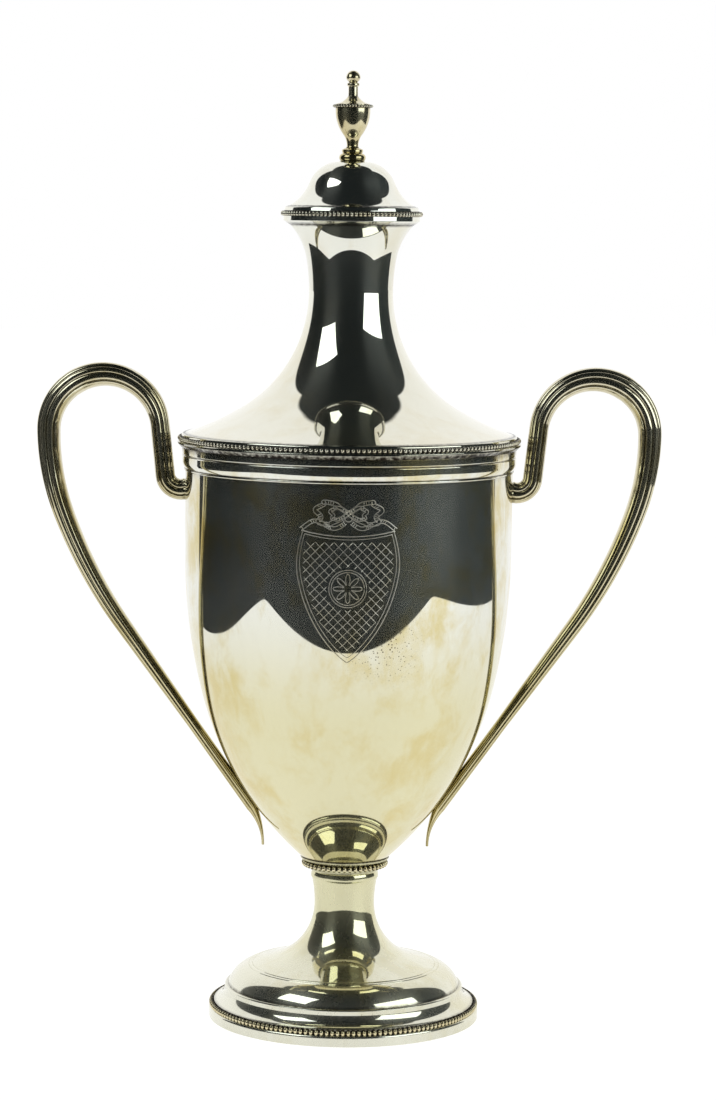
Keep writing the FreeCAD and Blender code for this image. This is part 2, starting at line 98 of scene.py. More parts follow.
def outline(steps):
    # (across, up) is a straight run to that point and (across, up, radius, side) an arc to it.
    # An outline that starts on the axis is open, any other is closed. Hard corners are eased with
    # the curve (1-t)^2 before + 2t(1-t) corner + t^2 after.
    corners = [np.array(step[:2], float) for step in steps]
    openEnded = steps[0][0] == 0
    runs = []
    for index, step in enumerate(steps):
        if index == 0 and openEnded:
            continue
        start, end = corners[index - 1], corners[index]
        runs.append(arcPoints(start, end, *step[2:]) if len(step) == 4 else np.array([start, end]))
    heads = [run[1] - run[0] for run in runs]
    tails = [run[-1] - run[-2] for run in runs]
    eases = []
    for index, run in enumerate(runs):
        following = (index + 1) % len(runs)
        tail, head = tails[index], heads[following]
        turn = math.atan2(tail[0] * head[1] - tail[1] * head[0], tail @ head)
        isHard = abs(math.degrees(turn)) > meshSettings["hardTurn"]
        lastOfOpen = openEnded and following == 0
        room = 0.35 * min(runLengths(run)[-1], runLengths(runs[following])[-1])
        eases.append(min(meshSettings["easing"], room) if isHard and not lastOfOpen else 0.0)
    bend = np.linspace(0, 1, 6)[1:-1, None]
    pieces = []
    for index, run in enumerate(runs):
        cut = trimmed(run, eases[index - 1] if index or not openEnded else 0.0, eases[index])
        pieces.append(cut)
        if eases[index]:
            nextRun = runs[(index + 1) % len(runs)]
            after = pointsAt(nextRun, np.array([eases[index]]))[0]
            pieces.append((1 - bend) ** 2 * cut[-1] + 2 * bend * (1 - bend) * run[-1] + bend ** 2 * after)
    points = np.concatenate(pieces)
    keep = np.hypot(*(points - np.roll(points, 1, axis=0)).T) > 1e-4
    keep[0] = True
    return points[keep]


def openLine(steps):
    # an outline left open at both ends: its runs and arcs in order, with no closing run
    corners = [np.array(step[:2], float) for step in steps]
    runs = []
    for index, step in enumerate(steps[1:], start=1):
        start, end = corners[index - 1], corners[index]
        straight = np.linspace(start, end, max(2, int(np.hypot(*(end - start)) / meshSettings["step"])))
        run = arcPoints(start, end, *step[2:]) if len(step) == 4 else straight
        runs.append(run if index == 1 else run[1:])
    return np.concatenate(runs)


def leftSide(points):
    # unit vectors to the left of the way along: (-y, x) of the line's gradient, made one long
    along = np.gradient(points, axis=0)
    along /= np.maximum(np.hypot(*along.T), 1e-9)[:, None]
    return np.stack([-along[:, 1], along[:, 0]], axis=1)


def offsetLine(points, wall):
    # the line one wall to the left of the way along
    return points + wall * leftSide(points)


def sheetOutline(outer, wall, lowest, highest):
    # a sheet of even thickness: the outer line up, then its offset back down, cut off level
    inner = offsetLine(outer, wall)[::-1]
    inner[:, 0] = np.maximum(inner[:, 0], 0.0)
    inner[:, 1] = np.clip(inner[:, 1], lowest, highest)
    return np.concatenate([outer, inner])


def closedSheet(outer, crown, wall):
    # the outer line up to the axis and the inner line back from it, one wall deep, under the crown
    inner = offsetLine(outer, wall)[::-1]
    inner[:, 1] = np.clip(inner[:, 1], outer[0, 1], crown[0, 1] - wall)
    axisPoint = np.array([[0.0, crown[0, 1] - wall]])
    # the two lines meet at the open edge, so the whole runs from the axis to the axis
    return np.concatenate([axisPoint, inner, outer, crown])


def scored(points, at, depth):
    # one engraved line: the outline dips by depth * (1 - distance / depth) about the point nearest at
    along = runLengths(points)
    fine = np.arange(0, along[-1], depth / 8)
    centre = fine[np.argmin(np.hypot(*(pointsAt(points, fine) - np.array(at)).T))]
    where = centre + depth * np.array([-1.0, -0.5, 0.0, 0.5, 1.0])
    allOf = np.unique(np.concatenate([along, where]))
    line = pointsAt(points, allOf)
    dip = depth * np.clip(1 - np.abs(allOf - centre) / depth, 0, 1)
    return line + dip[:, None] * leftSide(line)


def gridFaces(rows, columns, rowsClosed, columnsClosed):
    # four-sided faces between neighbours of a grid, wrapping round where it is closed
    row = np.arange(rows if rowsClosed else rows - 1)[:, None]
    column = np.arange(columns if columnsClosed else columns - 1)[None, :]
    nextRow, nextColumn = (row + 1) % rows, (column + 1) % columns
    corners = [row * columns + column, row * columns + nextColumn,
               nextRow * columns + nextColumn, nextRow * columns + column]
    return np.stack(corners, axis=-1).reshape(-1, 4)


creases = []    # (reach, height, spread) of each joint where tarnish collects


def creaseTarnish(points):
    # 1 in a joint, falling off as exp(-(distance / spread)^2)
    reach, up = np.hypot(points[:, 0], points[:, 1]), points[:, 2]
    strongest = np.zeros(len(points))
    for ring, height, spread in creases:
        gap = (reach - ring) ** 2 + (up - height) ** 2
        strongest = np.maximum(strongest, np.exp(-gap / spread ** 2))
    return strongest


def dentSwell(angles, up, reach):
    # slow dents of a hand-raised wall: sin(3a + z/17) sin(5a - z/29), fading out towards the axis
    return np.sin(3 * angles + up / 17) * np.sin(5 * angles - up / 29) * np.minimum(reach / 10, 1)


def turnedPart(line, base, count, dents=0.0):
    # spun about the axis: (r cos a, r sin a, z), with r swelling by dents times dentSwell
    angles = np.arange(count) * 2 * math.pi / count
    reach, up = line[:, :1], line[:, 1:] + base
    wide = reach + dents * dentSwell(angles, up, reach)
    grid = np.stack([wide * np.cos(angles), wide * np.sin(angles), np.broadcast_to(up, wide.shape)], axis=-1)
    points = grid.reshape(-1, 3)
    closed = line[0, 0] > 1e-6
    return points, gridFaces(len(line), count, closed, True), creaseTarnish(points)


def ballShape(rows, columns):
    # a ball with its poles along X: (cos b, sin b cos a, sin b sin a)
    b = np.linspace(0, math.pi, rows + 1)[1:-1, None]
    a = np.arange(columns) * 2 * math.pi / columns
    ring = np.stack(np.broadcast_arrays(np.cos(b), np.sin(b) * np.cos(a), np.sin(b) * np.sin(a)), axis=-1)
    points = np.concatenate([[[1, 0, 0]], ring.reshape(-1, 3), [[-1, 0, 0]]])
    quads = gridFaces(rows - 1, columns, False, True)[:, ::-1] + 1
    here = np.arange(columns)
    beyond = (here + 1) % columns
    last = len(points) - 1
    front = np.stack([np.zeros_like(here), here + 1, beyond + 1], axis=1)
    back = np.stack([np.full_like(here, last), last - columns + beyond, last - columns + here], axis=1)
    return points, quads, np.concatenate([front, back])


beadSettings = {
    "rows": 6, "columns": 10,             # faces of one bead, from pole to pole and round
    "fill": 0.43, "longest": 1.12,        # half a bead's length, of the pitch, and at most of its radius
    "wire": 0.55, "wireSides": 12,        # thickness of the wire between the beads, of a bead's
    "gapTarnishAndShade": 0.95, "gapFade": 1.35,  # tarnish and painted shade in the gaps: the first less the second times how far out a point is
}


def beadParts(ring, height, bead, count, tall):
    # the same ball at even angles round a ring, on a thinner round wire that shows between them
    s = beadSettings
    shape, quads, triangles = ballShape(s["rows"], s["columns"])
    pitch = 2 * math.pi * ring / count
    local = shape * np.array([bead, min(s["fill"] * pitch, s["longest"] * bead), bead * tall])
    angles = np.arange(count)[:, None] * 2 * math.pi / count
    across, side = ring + local[:, 0], local[:, 1]
    points = np.stack([across * np.cos(angles) - side * np.sin(angles),
                       across * np.sin(angles) + side * np.cos(angles),
                       np.broadcast_to(local[:, 2] + height, (count, len(shape)))], axis=-1).reshape(-1, 3)
    starts = np.arange(count)[:, None, None] * len(shape)
    faces = [(starts + quads).reshape(-1, 4), (starts + triangles).reshape(-1, 3)]
    # each bead darkens away from its crown: partly tarnish, partly painted shade where the beads meet
    gap = s["gapTarnishAndShade"] - s["gapFade"] * shape[:, 0]
    beads = (points, faces, np.tile(np.clip(gap, 0, 1), count))
    around = np.linspace(0, 2 * math.pi, s["wireSides"] + 1)[:-1]
    thick = s["wire"] * bead
    wireLine = np.stack([ring + thick * np.cos(around), thick * np.sin(around)], axis=1)
    wire = turnedPart(wireLine, height, 4 * count if count < 60 else count)
    # the wire between the beads is darkened all over: painted shade in the gaps, with tarnish
    return [beads, (wire[0], wire[1], np.ones(len(wire[0])))]


def linear(hexColour):
    # sRGB hex to the linear colour that a shader takes
    values = [int(hexColour[i:i + 2], 16) / 255 for i in (1, 3, 5)]
    return [v / 12.92 if v <= 0.04045 else ((v + 0.055) / 1.055) ** 2.4 for v in values] + [1.0]


def addNode(tree, kind, settings=None, values=None, links=None):
    # one node: its own settings, the values of its sockets, and what feeds them
    node = tree.nodes.new(kind)
    for key, value in (settings or {}).items():
        setattr(node, key, value)
    for key, value in (values or {}).items():
        node.inputs[key].default_value = value
    for key, source in (links or {}).items():
        tree.links.new(source, node.inputs[key])
    return node


smooth = {"interpolation_type": "SMOOTHSTEP"}
colours = {"data_type": "RGBA"}


def emptyTree(owner):
    # the node tree of a material or a world, cleared
    owner.use_nodes = True
    owner.node_tree.nodes.clear()
    return owner.node_tree


def agedSilver(name, look):
    # Sterling silver, polished and then left to age: a warm mirror with straw patches, brown
    # sulphide in its creases, and a thin haze of fine scratches that lifts its darks.
    material = bpy.data.materials.new(name)
    tree = emptyTree(material)
    place = addNode(tree, "ShaderNodeTexCoord").outputs["Object"]
    patches = addNode(tree, "ShaderNodeTexNoise", values={
        "Scale": metre / look["patchSize"], "Detail": 6.0, "Roughness": 0.58, "Distortion": 0.25},
        links={"Vector": place})
    wiped = addNode(tree, "ShaderNodeMapping", values={
        "Rotation": (0.5, 0.75, 0.3), "Scale": (1.0, 1.0, 0.5)}, links={"Vector": place})
    strokes = addNode(tree, "ShaderNodeTexNoise", values={
        "Scale": metre / look["strokeSize"], "Detail": 5.0, "Roughness": 0.65, "Distortion": 0.4},
        links={"Vector": wiped.outputs["Vector"]})
    grain = addNode(tree, "ShaderNodeTexNoise", values={
        "Scale": metre / look["grainSize"], "Detail": 3.0, "Roughness": 0.6}, links={"Vector": place})
    height = addNode(tree, "ShaderNodeSeparateXYZ", links={0: place})
    lowDown = addNode(tree, "ShaderNodeMapRange", smooth, {
        "From Min": look["warmFrom"] / metre, "From Max": look["warmTo"] / metre,
        "To Min": 0.0, "To Max": look["warmth"]}, {"Value": height.outputs["Z"]})
    both = addNode(tree, "ShaderNodeMath", {"operation": "MULTIPLY_ADD"}, {1: 1.5}, {
        0: patches.outputs["Fac"], 2: strokes.outputs["Fac"]})
    patchAmount = addNode(tree, "ShaderNodeMapRange", smooth, {
        "From Min": 1.10, "From Max": 1.62, "To Min": 0.0, "To Max": look["patchStrength"]},
        {"Value": both.outputs["Value"]})
    warmer = addNode(tree, "ShaderNodeMix", colours, {
        6: linear(look["polished"]), 7: linear(look["straw"])}, {0: lowDown.outputs["Result"]})
    warm = addNode(tree, "ShaderNodeMix", colours, {7: linear(look["patch"])}, {
        0: patchAmount.outputs["Result"], 6: warmer.outputs[2]})
    # besides the tarnish in creases, this carries the painted shade in the gaps between beads
    crease = addNode(tree, "ShaderNodeAttribute", {"attribute_name": "tarnish"})
    broken = addNode(tree, "ShaderNodeMapRange", values={
        "From Min": 0.3, "From Max": 0.6, "To Min": 0.45, "To Max": 1.0}, links={"Value": grain.outputs["Fac"]})
    creaseAmount = addNode(tree, "ShaderNodeMath", {"operation": "MULTIPLY", "use_clamp": True}, links={
        0: crease.outputs["Fac"], 1: broken.outputs["Result"]})
    darkness = addNode(tree, "ShaderNodeMath", {"operation": "MULTIPLY", "use_clamp": True}, {
        1: look["creaseStrength"]}, {0: creaseAmount.outputs["Value"]})
    aged = addNode(tree, "ShaderNodeMix", colours, {7: linear(look["tarnish"])}, {
        0: darkness.outputs["Value"], 6: warm.outputs[2]})
    colour = aged.outputs[2]
    if "speckAt" in look:
        # small dark spots of tarnish, thickest about one place
        offset = addNode(tree, "ShaderNodeVectorMath", {"operation": "DISTANCE"}, {
            1: [v / metre for v in look["speckAt"]]}, {0: place})
        near = addNode(tree, "ShaderNodeMapRange", values={
            "From Min": 0.0, "From Max": look["speckReach"] / metre, "To Min": 0.30, "To Max": 0.0},
            links={"Value": offset.outputs["Value"]})
        cells = addNode(tree, "ShaderNodeTexVoronoi", values={"Scale": metre / look["speckSpacing"]},
                        links={"Vector": place})
        spot = addNode(tree, "ShaderNodeMath", {"operation": "LESS_THAN"}, links={
            0: cells.outputs["Distance"], 1: near.outputs["Result"]})
        fade = addNode(tree, "ShaderNodeMath", {"operation": "MULTIPLY"}, {1: 0.8}, {0: spot.outputs["Value"]})
        speckled = addNode(tree, "ShaderNodeMix", colours, {7: linear(look["speck"])}, {
            0: fade.outputs["Value"], 6: colour})
        colour = speckled.outputs[2]
    haze = addNode(tree, "ShaderNodeMapRange", values={
        "From Min": 0.35, "From Max": 0.75, "To Min": look["roughness"][0], "To Max": look["roughness"][1]},
        links={"Value": strokes.outputs["Fac"]})
    roughness = addNode(tree, "ShaderNodeMath", {"operation": "MULTIPLY_ADD", "use_clamp": True}, {
        1: look["creaseRoughness"]}, {0: creaseAmount.outputs["Value"], 2: haze.outputs["Result"]})
    # real polishing scratches are too fine to show, so these are drawn coarser than life
    turnedPlace = addNode(tree, "ShaderNodeMapping", values={
        "Rotation": (0.4, 0.2, 0.6), "Scale": (1.0, 1.0, 0.12)}, links={"Vector": place})
    scratch = addNode(tree, "ShaderNodeTexNoise", values={
        "Scale": metre / look["scratchSize"], "Detail": 2.0, "Roughness": 0.6},
        links={"Vector": turnedPlace.outputs["Vector"]})
    surface = addNode(tree, "ShaderNodeBump", values={
        "Strength": look["scratchStrength"], "Distance": 0.0004}, links={"Height": scratch.outputs["Fac"]})
    shader = addNode(tree, "ShaderNodeBsdfPrincipled", values={"Metallic": 1.0}, links={
        "Base Color": colour, "Roughness": roughness.outputs["Value"], "Normal": surface.outputs["Normal"]})
    # the haze comes from scratches that run round the cup, so it spreads a light up and down
    radial = addNode(tree, "ShaderNodeTangent", {"direction_type": "RADIAL", "axis": "Z"})
    veil = addNode(tree, "ShaderNodeBsdfPrincipled", values={
        "Metallic": 1.0, "Roughness": 0.38, "Anisotropic": 0.9, "Anisotropic Rotation": 0.25}, links={
        "Base Color": colour, "Tangent": radial.outputs["Tangent"]})
    veilAmount = addNode(tree, "ShaderNodeMapRange", values={
        "From Min": 0.3, "From Max": 0.7, "To Min": look["veil"] * 0.75, "To Max": look["veil"] * 1.25},
        links={"Value": strokes.outputs["Fac"]})
    worn = addNode(tree, "ShaderNodeMixShader", links={
        0: veilAmount.outputs["Result"], 1: shader.outputs["BSDF"], 2: veil.outputs["BSDF"]})
    addNode(tree, "ShaderNodeOutputMaterial", links={"Surface": worn.outputs["Shader"]})
    return material


# the spun bowl: nearly a mirror, straw-coloured low down, clouded where the polish has thinned
spunLook = {
    "polished": "#E6E6DC", "straw": "#DAD4AC", "patch": "#D4C690", "tarnish": "#33240F", "speck": "#4A3418",
    "patchSize": 46.0, "strokeSize": 14.0, "patchStrength": 0.95, "warmFrom": 235.0, "warmTo": 165.0,
    "warmth": 0.9, "grainSize": 2.4, "creaseStrength": 0.9, "creaseRoughness": 0.25,
    "roughness": (0.018, 0.055), "veil": 0.09, "scratchSize": 2.2, "scratchStrength": 0.004,
    "speckAt": (20.0, -80.0, 208.0), "speckReach": 31.0, "speckSpacing": 1.5,
}
# the foot: yellower, and a duller mirror
footLook = {
    **spunLook, "polished": "#D9D5B2", "straw": "#E2E1D3", "patch": "#CDC394", "patchStrength": 0.45,
    "warmFrom": 60.0, "warmTo": 14.0, "veil": 0.25, "roughness": (0.025, 0.06),
}
# the cover: the whitest and sharpest mirror, with nearly black creases
coverLook = {
    **spunLook, "patch": "#D9CFAE", "patchStrength": 0.4, "straw": "#DFDCCB", "warmFrom": 430.0,
    "warmTo": 320.0, "warmth": 0.6, "roughness": (0.015, 0.035), "veil": 0.08, "tarnish": "#1A1006",
    "creaseStrength": 1.25,
}
# struck beads: bright on top, and black in the gaps, partly tarnish that no polishing reaches and partly
# painted shade
beadLook = {
    "polished": "#E4DFCC", "straw": "#D9CDA2", "patch": "#C6B27E", "tarnish": "#1B140B", "patchSize": 30.0,
    "strokeSize": 8.0, "patchStrength": 0.5, "warmFrom": 300.0, "warmTo": 60.0, "warmth": 0.8,
    "grainSize": 1.6, "creaseStrength": 1.2, "creaseRoughness": 0.3, "roughness": (0.03, 0.07),
    "veil": 0.08, "scratchSize": 1.2, "scratchStrength": 0.02,
}
# the reeded strap: a warmer silver, with brown grooves
strapLook = {
    "polished": "#DDD6BC", "straw": "#CFC393", "patch": "#AC9D66", "tarnish": "#1E1608", "patchSize": 34.0,
    "strokeSize": 10.0, "patchStrength": 0.6, "warmFrom": 350.0, "warmTo": 150.0, "warmth": 0.8,
    "grainSize": 3.0, "creaseStrength": 0.75, "creaseRoughness": 0.2, "roughness": (0.03, 0.08),
    "veil": 0.14, "scratchSize": 1.8, "scratchStrength": 0.04,
}
# the cast finial: a softer shine
finialLook = {
    **strapLook, "polished": "#DAD3B8", "straw": "#CDC08F", "patch": "#B09D63", "warmFrom": 500.0,
    "warmTo": 450.0, "roughness": (0.09, 0.16), "veil": 0.18,
}
# a graver's cuts: narrow and rough, so they show as pale lines
cutLook = {
    "polished": "#F1EEE2", "straw": "#D8CC9C", "patch": "#CDBF8C", "tarnish": "#4A3A1E", "patchSize": 12.0,
    "strokeSize": 4.0, "patchStrength": 0.5, "warmFrom": 235.0, "warmTo": 195.0, "warmth": 0.6,
    "grainSize": 1.0, "creaseStrength": 0.9, "creaseRoughness": 0.1, "roughness": (0.28, 0.42),
    "veil": 0.3, "scratchSize": 0.6, "scratchStrength": 0.1,
}
# the turned brass fixing, dulled
brassLook = {
    "polished": "#C9A864", "straw": "#A98545", "patch": "#8E7038", "tarnish": "#3A2A12", "patchSize": 6.0,
    "strokeSize": 3.0, "patchStrength": 0.8, "warmFrom": 460.0, "warmTo": 440.0, "warmth": 0.5,
    "grainSize": 0.8, "creaseStrength": 0.5, "creaseRoughness": 0.2, "roughness": (0.25, 0.40),
    "veil": 0.2, "scratchSize": 0.5, "scratchStrength": 0.15,
}
silverSpun = agedSilver("sterlingSilverSpunPolished", spunLook)
silverFoot = agedSilver("sterlingSilverFootWorn", footLook)
silverCover = agedSilver("sterlingSilverCoverPolished", coverLook)
silverBeads = agedSilver("sterlingSilverStruckBeads", beadLook)
silverStrap = agedSilver("sterlingSilverReededStrap", strapLook)
silverCast = agedSilver("sterlingSilverCastFinial", finialLook)
silverCuts = agedSilver("sterlingSilverBrightCuts", cutLook)
brassTurned = agedSilver("turnedBrassDulled", brassLook)
print("materials made")


def closedPoles(points, faces, tarnish):
    # the points of a ring that has shrunk onto the axis become one point, and the four-sided
    # faces that met there become triangles
    onAxis = np.flatnonzero(np.hypot(points[:, 0], points[:, 1]) < 1e-4)
    keep = np.arange(len(points))
    _, first, which = np.unique(np.round(points[onAxis, 2], 4), return_index=True, return_inverse=True)
    keep[onAxis] = onAxis[first[which.reshape(-1)]]
    kept, place = np.unique(keep, return_inverse=True)
    corners = place.reshape(-1)[faces]
    repeats = corners == np.roll(corners, -1, axis=1)
    met = repeats.sum(axis=1)
    triangles = corners[met == 1][~repeats[met == 1]].reshape(-1, 3)
    return points[kept], [corners[met == 0], triangles], tarnish[kept]


def addObject(name, content):
    # a new object in the scene, at the origin
    thing = bpy.data.objects.new(name, content)
    bpy.context.scene.collection.objects.link(thing)
    return thing


def makePiece(name, parts, material, body, slot, *nodes):
    # joins the parts, each (points, blocks of faces, tarnish), into one mesh with its finish, its
    # body and its node
    parts = [part if isinstance(part[1], list) else closedPoles(*part) for part in parts]
    points = np.concatenate([part[0] for part in parts]) / metre
    faces, first = [], 0
    for part in parts:
        for block in part[1]:
            faces += (block + first).tolist()
        first += len(part[0])
    mesh = bpy.data.meshes.new(name)
    mesh.from_pydata(points.tolist(), [], faces)
    layer = mesh.attributes.new("tarnish", "FLOAT", "POINT")
    layer.data.foreach_set("value", np.concatenate([part[2] for part in parts]).astype(np.float32))
    mesh.shade_smooth()
    mesh.set_sharp_from_angle(angle=math.radians(meshSettings["sharpTurn"]))
    mesh.materials.append(material)
    piece = addObject(name, mesh)
    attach(piece, body)
    if nodes:
        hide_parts(*nodes)


def makeTurned(name, node, line, material, body, dents=0.0, count=meshSettings["largeRound"]):
    # one turned piece, standing where its node stands
    part = turnedPart(line, nodeSpan(node)[0], count, dents)
    makePiece(name, [part], material, body, "silver", node)


def makeBeads(name, node, body, count, tall=1.0):
    # a ring of beads as thick as the node's wire, and tall times as high
    low, high, reach = nodeSpan(node)
    bead = (high - low) / 2
    parts = beadParts(reach - bead, (low + high) / 2, bead, count, tall)
    makePiece(name, parts, silverBeads, body, "silver_moulding", node)


# tarnish collects in every place where two pieces meet
creases += [
    (nodeSpan("foot_cove")[2] + 0.2, nodeSpan("foot_rim")[1], 0.9),
    (nodeSpan("foot_cove")[2], nodeSpan("foot_bead_wire")[1], 0.8),
    (nodeSpan("pedestal")[2], nodeSpan("pedestal")[0], 0.7),
    (nodeSpan("finial_urn")[2] + 0.1, nodeSpan("finial_urn")[1], 0.5),
    (nodeSpan("collar")[2] - 0.1, nodeSpan("collar")[1] + 0.1, 0.7),
    (18.6, nodeSpan("pedestal")[1], 1.0),
    (86.3, nodeSpan("lip_astragal")[0] + 1.8, 0.5),
    (86.4, nodeSpan("lip_moulding")[0] - 1.7, 0.5),
    (87.4, nodeSpan("lip_moulding")[1] - 4.0, 0.4),
    (87.9, nodeSpan("cover_rim")[0], 0.9),
    (89.0, nodeSpan("cover_rim")[0] + 0.7, 2.2),
    (86.7, nodeSpan("cover_rim")[1] + 0.1, 0.8),
    (32.8, nodeSpan("neck_fascia")[0], 0.8),
    (33.9, nodeSpan("cap_dome")[0], 0.7),
    (5.9, nodeSpan("cap_dome")[1], 0.8),
    (3.3, nodeSpan("finial_urn")[0], 0.7),
    (2.5, nodeSpan("finial_urn_cover")[0] + 6.0, 0.6),
]


footSettings = {
    "rim": [(71.7, 0), (71.7, 4.4), (70.9, 5.7, 1.7, 1), (67.6, 5.7), (67.6, 4.7), (69.6, 4.7), (69.6, 0)],
    "cove": [(69.1, 0), (69.1, 3.0), (63.3, 8.8, 7.0, -1), (63.3, 11.1), (62.7, 11.7), (60.2, 11.7),
             (60.3, 8.8), (67.6, 1.5, 8.5, 1), (67.6, 0)],
    "pedestal": [(61.6, 0), (54.8, 8.5, 15.5, 1), (49.5, 10.5, 18.0, 1), (34.9, 15.1, 80.0, -1),
                 (15.9, 43.8, 31.2, -1), (17.24, 56.6, 61.3, -1), (17.75, 57.6), (17.9, 58.4, 1.6, 1),
                 (17.35, 61.0, 6.0, 1), (18.4, 61.9), (18.4, 63.1)],
    "pedestalWall": 1.2, "lines": [(50.6, 10.1), (48.7, 10.7)], "lineDepth": 0.35, "dents": 0.02,
    "beads": 160, "beadTall": 1.25,
}


def makeFoot(s):
    # a turned band, its beads, a hollow moulding, and a domed sheet drawn up into the stem
    makeTurned("footRim", "foot_rim", outline(s["rim"]), silverFoot, "cup")
    makeBeads("footBeads", "foot_bead_wire", "cup", s["beads"], s["beadTall"])
    makeTurned("footCove", "foot_cove", outline(s["cove"]), silverFoot, "cup")
    base, top, _ = nodeSpan("pedestal")
    outer = openLine(s["pedestal"])
    for at in s["lines"]:
        outer = scored(outer, at, s["lineDepth"])
    crown = np.array([[0.0, top - base]])
    sheet = closedSheet(outer, crown, s["pedestalWall"])
    makeTurned("pedestalShell", "pedestal", sheet, silverFoot, "cup", s["dents"])


makeFoot(footSettings)
print("foot made")


collarSettings = {
    "outline": [(13.5, 0), (20.15, 0), (20.15, 3.45), (22.6, 4.1), (23.6, 4.9), (23.6, 5.8), (23.4, 5.8),
                (14.2, 2.4, 14.0, -1), (13.5, 2.4)],
    "beads": 48, "beadTall": 1.15,
}
bowlSettings = {
    "outer": [(0, 0), (14.2, 0), (23.6, 3.6, 14.0, 1), (77.0, 92.2, 176.8, 1), (86.0, 161.3, 302.0, 1),
              (86.2, 221.0)],
    "wall": 1.2, "dents": 0.045,
    "lip": [(86.25, -1.6), (86.45, -1.6), (87.8, 2.9, 6.0, 1), (87.8, 4.8), (87.3, 5.4), (87.8, 6.0),
            (87.8, 9.4), (86.25, 9.4)],
    "astragal": [(86.25, 1.9), (86.25, 3.4, 0.80, 1)],
}
bowlBase = nodeSpan("bowl")[0]
bowlLine = openLine(bowlSettings["outer"])


def bowlReach(angles, up):
    # radius of the bowl's outside at an angle and height, dents included
    reach = np.interp(up, bowlLine[:, 1] + bowlBase, bowlLine[:, 0])
    return reach + bowlSettings["dents"] * dentSwell(angles, up, reach)


def makeBowl(s):
    # the collar and its beads, the spun bowl of even thickness, and the mouldings of its lip
    makeTurned("collarTurned", "collar", outline(collarSettings["outline"]), silverFoot, "cup")
    makeBeads("collarBeads", "collar_bead_wire", "cup", collarSettings["beads"], collarSettings["beadTall"])
    sheet = sheetOutline(bowlLine, s["wall"], s["wall"], bowlLine[-1, 1])
    makeTurned("bowlShell", "bowl", sheet, silverSpun, "cup", s["dents"])
    makeTurned("lipMoulding", "lip_moulding", outline(s["lip"]), silverSpun, "cup")
    makeTurned("lipAstragal", "lip_astragal", outline(s["astragal"]), silverSpun, "cup")


makeBowl(bowlSettings)
print("bowl made")


# the front is engraved with a plain cartouche under a ribbon bow
engravingSettings = {
    "top": 268.0, "tip": 201.0, "half": 27.5, "border": 1.6, "archDrop": 2.6,
    "cutWidth": 0.56, "cutRise": 0.12, "lift": 0.012, "cutTarnish": 0.6,
    "latticeStep": 3.4, "latticeCut": 0.34, "latticeLean": 1.4, "latticeGap": 0.9, "latticeTop": 3.4,
    "medallion": 9.5, "medallionUp": 239.0, "medallionRim": 1.2, "medallionGap": 0.8,
    "petals": 8, "petalReach": 6.6, "petalRoot": 0.8,
    "bowUp": 275.5, "bowHalf": 15.5, "bowRise": 5.6, "innerLoop": 0.55, "knot": (2.2, 2.6),
    "ribbon": 1.0, "hatch": 1.15, "hatchRun": 4.0,
    "tailFrom": 1.5, "tailHalf": 24.5, "tailDrop": 3.2, "tailWave": 2.3, "tailPitch": 3.3, "tailSlope": 0.10,
}


def cutPart(line, width):
    # one graver's cut: a strip along the line, (line - side, line + rise, line + side), laid on the bowl
    s = engravingSettings
    side = leftSide(line) * width / 2
    taper = np.minimum(1, np.minimum(np.arange(len(line)), np.arange(len(line))[::-1]) / 2 + 0.15)[:, None]
    flat = np.stack([line + side * taper, line, line - side * taper], axis=1)
    up = flat[..., 1]
    across = flat[..., 0] / np.interp(up, bowlLine[:, 1] + bowlBase, bowlLine[:, 0])
    angles = across - math.pi / 2
    rise = np.array([0.0, s["cutRise"], 0.0]) * width / s["cutWidth"]
    reach = bowlReach(angles, up) + s["lift"] + rise
    points = np.stack([reach * np.cos(angles), reach * np.sin(angles), up], axis=-1).reshape(-1, 3)
    cutEdges = np.tile([s["cutTarnish"], 0.0, s["cutTarnish"]], len(line))
    return points, gridFaces(len(line), 3, False, False), cutEdges


def shieldHalf(up, inset):
    # half the shield's width at a height: half * (1 - q^2.4)^0.85, drawn in at the shoulders, where
    # q runs from top to tip
    s = engravingSettings
    q = np.clip((s["top"] - up) / (s["top"] - s["tip"] - 1.6 * inset), 0, 1)
    shoulder = 0.84 + 0.16 * np.sin(np.minimum(q / 0.35, 1) * math.pi / 2)
    return (s["half"] - inset) * (1 - q ** 2.4) ** 0.85 * shoulder


def shieldLine(inset):
    # once round the shield, drawn in by inset: up the right side, over the arched top, down the left
    s = engravingSettings
    tip = s["tip"] + 1.6 * inset
    up = tip + (s["top"] - inset - tip) * (1 - np.cos(np.linspace(0, math.pi, 90))) / 2
    half = shieldHalf(up, inset)
    topAcross = np.linspace(half[-1], -half[-1], 50)[1:-1]
    topUp = s["top"] - inset - s["archDrop"] * (1 - (topAcross / half[-1]) ** 2)
    return np.concatenate([np.stack([half, up], 1), np.stack([topAcross, topUp], 1),
                           np.stack([-half, up], 1)[::-1]])


def keptRuns(line, keep):
    # the stretches of a line where keep holds
    edges = np.flatnonzero(np.diff(np.concatenate([[0], keep.astype(int), [0]])))
    return [line[a:b] for a, b in edges.reshape(-1, 2) if b - a > 3]


def bowLoop(side, grow):
    # one loop of the bow: (half sin(t/2) (1 + 0.10 sin 5t), rise sin t), for t once round
    s = engravingSettings
    t = np.linspace(0, 2 * math.pi, 90)
    across = s["bowHalf"] * grow * np.sin(t / 2) * (1 + 0.10 * np.sin(5 * t))
    return np.stack([side * across, s["bowUp"] + 1.5 + s["bowRise"] * grow * np.sin(t)], axis=1)


